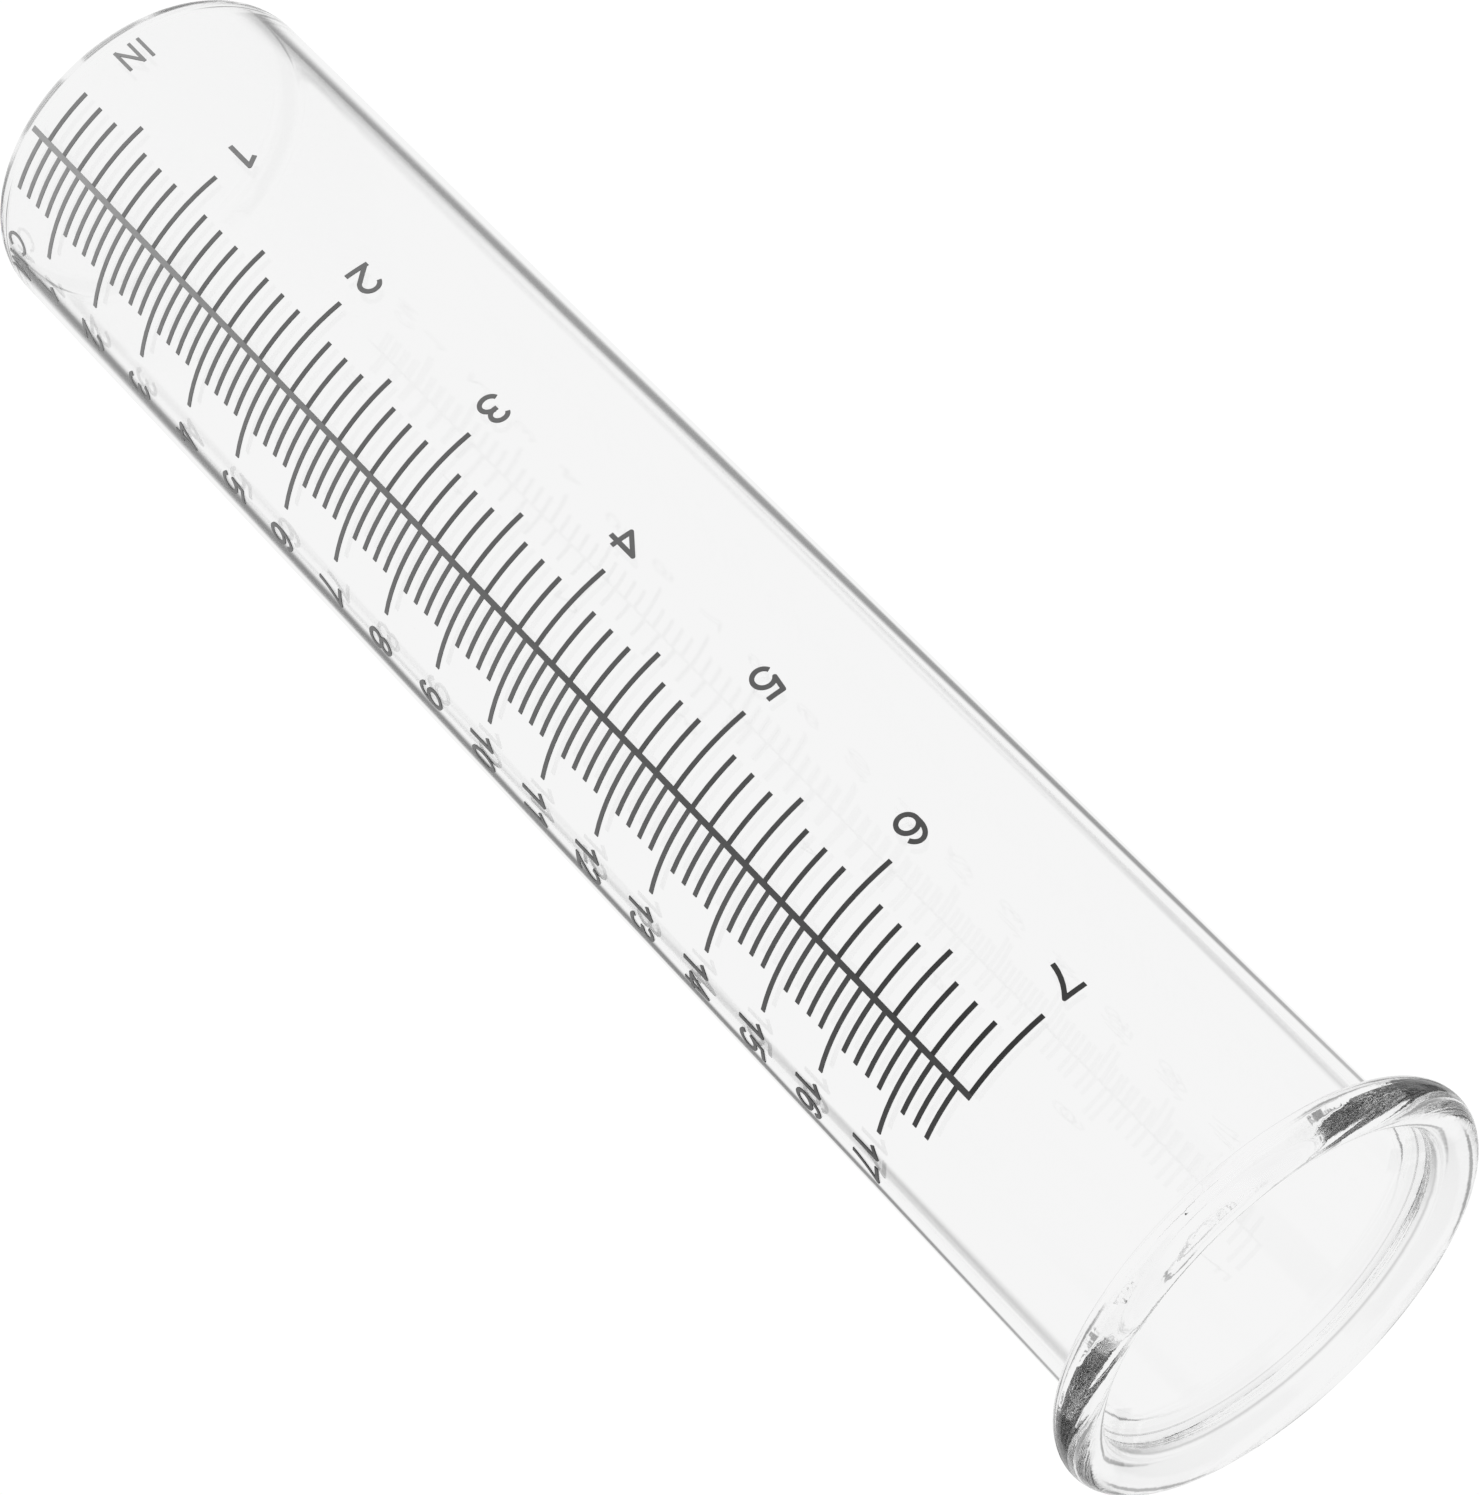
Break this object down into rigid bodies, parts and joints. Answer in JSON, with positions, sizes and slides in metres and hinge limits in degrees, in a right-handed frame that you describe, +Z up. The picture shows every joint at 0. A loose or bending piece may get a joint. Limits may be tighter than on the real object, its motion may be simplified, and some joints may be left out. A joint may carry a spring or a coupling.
{
  "type": "manual rain gauge",
  "caption": "Clear glass rain measuring tube with a flat closed base, a wide beaded rim to hang it by, and a fired grey scale in inches and centimetres up its side.",
  "frame": {"origin": "centre of the flat underside of the base", "axes": "+Z up the tube's axis to the open mouth; the scale faces -Y, inches to -X of its long line and centimetres to +X"},
  "size_m": [0.056, 0.056, 0.2132],
  "materials": {
    "clear_glass": "fire-polished clear glass",
    "grey_enamel": "fired grey enamel, satin"
  },
  "bodies": {
    "root": {"glass_tube": "clear_glass", "scale_spine": "grey_enamel", "inch_whole_marks": "grey_enamel", "inch_half_marks": "grey_enamel", "inch_eighth_marks": "grey_enamel", "inch_numerals": "grey_enamel", "inch_unit_letters": "grey_enamel", "centimetre_whole_marks": "grey_enamel", "centimetre_fifth_marks": "grey_enamel", "centimetre_numerals": "grey_enamel", "centimetre_unit_letters": "grey_enamel"}
  },
  "joints": []
}
